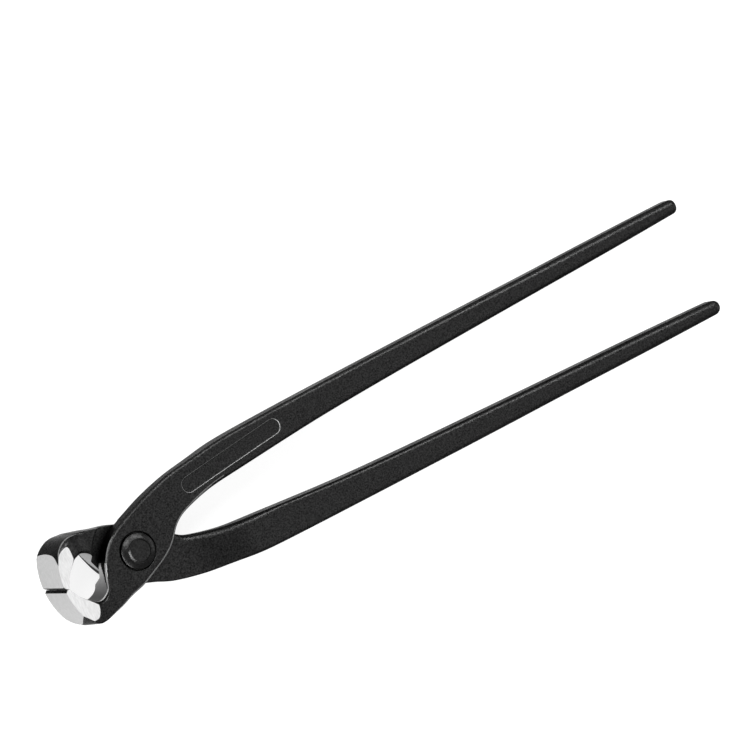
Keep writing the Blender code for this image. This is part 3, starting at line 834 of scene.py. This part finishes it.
def bright_steel(name, shades, roughness, turn, bump, corner=None, grazing=1.0):
    """Hardened tool steel with the oxide ground or milled off: bright, with fine parallel scratches.

    The scratches follow the wheel's or the cutter's way over the face. They are 0.02 mm wide in the steel and are
    drawn coarser, so that they show. With corner, the steel darkens from its second height Y to its first, down to
    its share: painted shade deep in the mouth's lower corner. Grazing is the share of grazing light that it gives
    back.
    """
    material, tree = new_material(name)
    place = add_node(tree, "ShaderNodeTexCoord")
    along = add_node(
        tree,
        "ShaderNodeMapping",
        {"Rotation": turn, "Scale": (1.0, SCRATCH_STRETCH, 1.0)},
        {"Vector": (place, "Object")},
    )
    scratches = add_node(
        tree,
        "ShaderNodeTexNoise",
        {"Scale": 1 / (SCRATCH_SIZE * MM), "Detail": 2.0},
        {"Vector": (along, "Vector")},
    )
    tone = add_node(tree, "ShaderNodeMapRange", NOISE_SPAN, {"Value": (scratches, "Fac")})
    colour = add_node(
        tree,
        "ShaderNodeMix",
        {FIRST_COLOUR: linear(shades[0]), SECOND_COLOUR: linear(shades[1])},
        {MIX_FACTOR: (tone, "Result")},
        data_type="RGBA",
    )
    # Painted shade: the colour darkens along Y towards the mouth's lower corner
    if corner:
        parts = add_node(tree, "ShaderNodeSeparateXYZ", None, {"Vector": (place, "Object")})
        light = add_node(
            tree,
            "ShaderNodeMapRange",
            {"From Min": corner[0] * MM, "From Max": corner[1] * MM, "To Min": corner[2], "To Max": 1.0},
            {"Value": (parts, "Y")},
        )
        colour = add_node(
            tree,
            "ShaderNodeMix",
            {MIX_FACTOR: 1.0},
            {FIRST_COLOUR: (colour, MIXED_COLOUR), SECOND_COLOUR: (light, "Result")},
            data_type="RGBA",
            blend_type="MULTIPLY",
        )
    bumps = add_node(
        tree,
        "ShaderNodeBump",
        {"Strength": bump, "Distance": SCRATCH_DEPTH * MM},
        {"Height": (scratches, "Fac")},
    )
    shader = add_node(
        tree,
        "ShaderNodeBsdfPrincipled",
        {"Metallic": 1.0, "Roughness": roughness, "Specular Tint": (grazing, grazing, grazing, 1.0)},
        {"Base Color": (colour, MIXED_COLOUR), "Normal": (bumps, "Normal")},
    )
    add_node(tree, "ShaderNodeOutputMaterial", None, {"Surface": (shader, "BSDF")})
    return material


def floor_material():
    """Matt white paper. The camera, mirrors and glass see it as white, and it keeps a part of each shadow."""
    material, tree = new_material("white_paper_floor")
    paper = add_node(tree, "ShaderNodeBsdfDiffuse", {"Color": linear(PAPER)})
    shadow = add_node(tree, "ShaderNodeBsdfDiffuse", {"Color": (SHADOW_SHARE, SHADOW_SHARE, SHADOW_SHARE, 1.0)})
    glow = add_node(tree, "ShaderNodeEmission", {"Strength": FLOOR_GLOW})
    seen = add_node(tree, "ShaderNodeAddShader", None, {0: (shadow, "BSDF"), 1: (glow, "Emission")})
    ray = add_node(tree, "ShaderNodeLightPath")
    looked_at = add_node(
        tree,
        "ShaderNodeMath",
        None,
        {0: (ray, "Is Camera Ray"), 1: (ray, "Is Glossy Ray")},
        operation="MAXIMUM",
    )
    looked_at = add_node(
        tree,
        "ShaderNodeMath",
        None,
        {0: (looked_at, "Value"), 1: (ray, "Is Transmission Ray")},
        operation="MAXIMUM",
    )
    mix = add_node(
        tree,
        "ShaderNodeMixShader",
        None,
        {"Fac": (looked_at, "Value"), 1: (paper, "BSDF"), 2: (seen, "Shader")},
    )
    add_node(tree, "ShaderNodeOutputMaterial", None, {"Surface": (mix, "Shader")})
    return material


def make_floor():
    """A square of paper that the pliers lie on."""
    corners = FLOOR_REACH * np.array([[-1, -1, 0], [1, -1, 0], [1, 1, 0], [-1, 1, 0]])
    mesh = bpy.data.meshes.new("floor")
    mesh.from_pydata(corners.tolist(), [], [(0, 1, 2, 3)])
    mesh.materials.append(floor_material())
    paper = bpy.data.objects.new("floor", mesh)
    bpy.context.scene.collection.objects.link(paper)
    return paper


def light_the_world():
    """A studio's pale surroundings: they light the pliers evenly at a plain level, and are white to the camera."""
    world = bpy.data.worlds.new("studio")
    bpy.context.scene.world = world
    world.use_nodes = True
    tree = world.node_tree
    tree.nodes.clear()
    lit = add_node(tree, "ShaderNodeBackground", {"Color": WHITE, "Strength": WORLD_LEVEL})
    white = add_node(tree, "ShaderNodeBackground", {"Color": WHITE, "Strength": 1.0})
    ray = add_node(tree, "ShaderNodeLightPath")
    mix = add_node(
        tree,
        "ShaderNodeMixShader",
        None,
        {"Fac": (ray, "Is Camera Ray"), 1: (lit, "Background"), 2: (white, "Background")},
    )
    add_node(tree, "ShaderNodeOutputWorld", None, {"Surface": (mix, "Shader")})


def soft_lamp(name, direction, distance, size, level):
    """A soft box that faces the pliers' middle. Its power is its level times pi times its area."""
    data = bpy.data.lights.new(name, "AREA")
    data.shape = "RECTANGLE"
    data.size, data.size_y = size
    data.energy = level * math.pi * size[0] * size[1]
    lamp = bpy.data.objects.new(name, data)
    towards = Vector(direction).normalized()
    lamp.location = LIT_POINT + towards * distance
    lamp.rotation_mode = "QUATERNION"
    lamp.rotation_quaternion = towards.to_track_quat("Z", "Y")
    bpy.context.scene.collection.objects.link(lamp)


def make_camera():
    """A long lens from in front of the jaws and above, at the photograph's angle."""
    data = bpy.data.cameras.new("camera")
    data.sensor_width = CAMERA_SENSOR
    data.lens = CAMERA_LENS
    data.clip_start, data.clip_end = CAMERA_CLIP
    camera = bpy.data.objects.new("camera", data)
    camera.location = Vector(CAMERA_PLACE) * MM + Vector(PIVOT)
    forward, up = Vector(CAMERA_FORWARD), Vector(CAMERA_UP)
    right = forward.cross(up).normalized()
    up = right.cross(forward)
    camera.rotation_mode = "QUATERNION"
    camera.rotation_quaternion = Matrix((right, up, -forward)).transposed().to_quaternion()
    bpy.context.scene.collection.objects.link(camera)
    bpy.context.scene.camera = camera


for given in [o for o in bpy.data.objects if o.type in ("CAMERA", "LIGHT")]:
    bpy.data.objects.remove(given, do_unlink=True)

black_oxide = black_oxide_steel(
    "black_oxide_forged_steel", grain_mm=0.5, bump=0.9, darkest="#101010", palest="#363636", roughest=0.34
)
# The rivet is turned and not blasted, so it looks smoother than the forgings
rivet_oxide = black_oxide_steel(
    "black_oxide_turned_rivet", grain_mm=0.5, bump=0.4, darkest="#1A1A1A", palest="#323232", roughest=0.34
)
# A paler, matt grey oxide along some corners and the recess's lip: painted highlight lines where those edges catch
# light
highlight_oxide = black_oxide_steel(
    "black_oxide_rubbed_thin_at_lip", grain_mm=0.5, bump=0.2, darkest="#626262", palest="#7E7E7E", roughest=0.55
)
# The jaw's curved end is given greyer shades than its flat sides, which look almost white: the greyer end is painted
# shade
ground_end_painted_shade = bright_steel(
    "ground_steel_jaw_end", shades=("#979797", "#A8A8A8"), roughness=0.34, turn=(0, 0, 0.3), bump=0.2
)
ground_side = bright_steel(
    "ground_steel_jaw_side", shades=("#CACACA", "#DEDEDE"), roughness=0.34, turn=(0, 0, 0.9), bump=0.15
)
# The mouth is milled, so it is duller than the ground faces. It darkens towards its lower corner as painted shade, and
# a brighter steel on its corner in front is a painted highlight
milled_steel = bright_steel(
    "milled_steel_mouth",
    shades=("#BEBEBE", "#D4D4D4"),
    roughness=0.38,
    turn=(0, 0, 0),
    bump=0.3,
    # Painted shade, darker towards the mouth's lower corner
    corner=(-8.6, 0.5, 0.1),
    grazing=0.6,
)
# A brighter milled steel on the mouth's corner in front, as a painted highlight line
milled_highlight_steel = bright_steel(
    "milled_steel_bright_edge", shades=("#D0D0D0", "#E0E0E0"), roughness=0.3, turn=(0, 0, 0), bump=0.1
)

front_limb = finished_limb("forged_front_limb", FRONT_FORM, True)
back_limb = finished_limb("forged_back_limb", BACK_FORM, False)
turn_over(back_limb)
rivet = turned_piece("pivot_rivet", rivet_profile(), rivet_oxide)
shade(rivet)

for piece, body, node, finish in (
    (front_limb, "front", "front_limb", "forged_steel"),
    (back_limb, "back", "back_limb", "forged_steel"),
    (rivet, "back", "rivet", "rivet_steel"),
):
    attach(piece, body)
    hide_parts(node)

floor = make_floor()

light_the_world()
for soft_box in SOFT_BOXES:
    soft_lamp(*soft_box)
make_camera()
bpy.context.scene.view_settings.view_transform = "Standard"
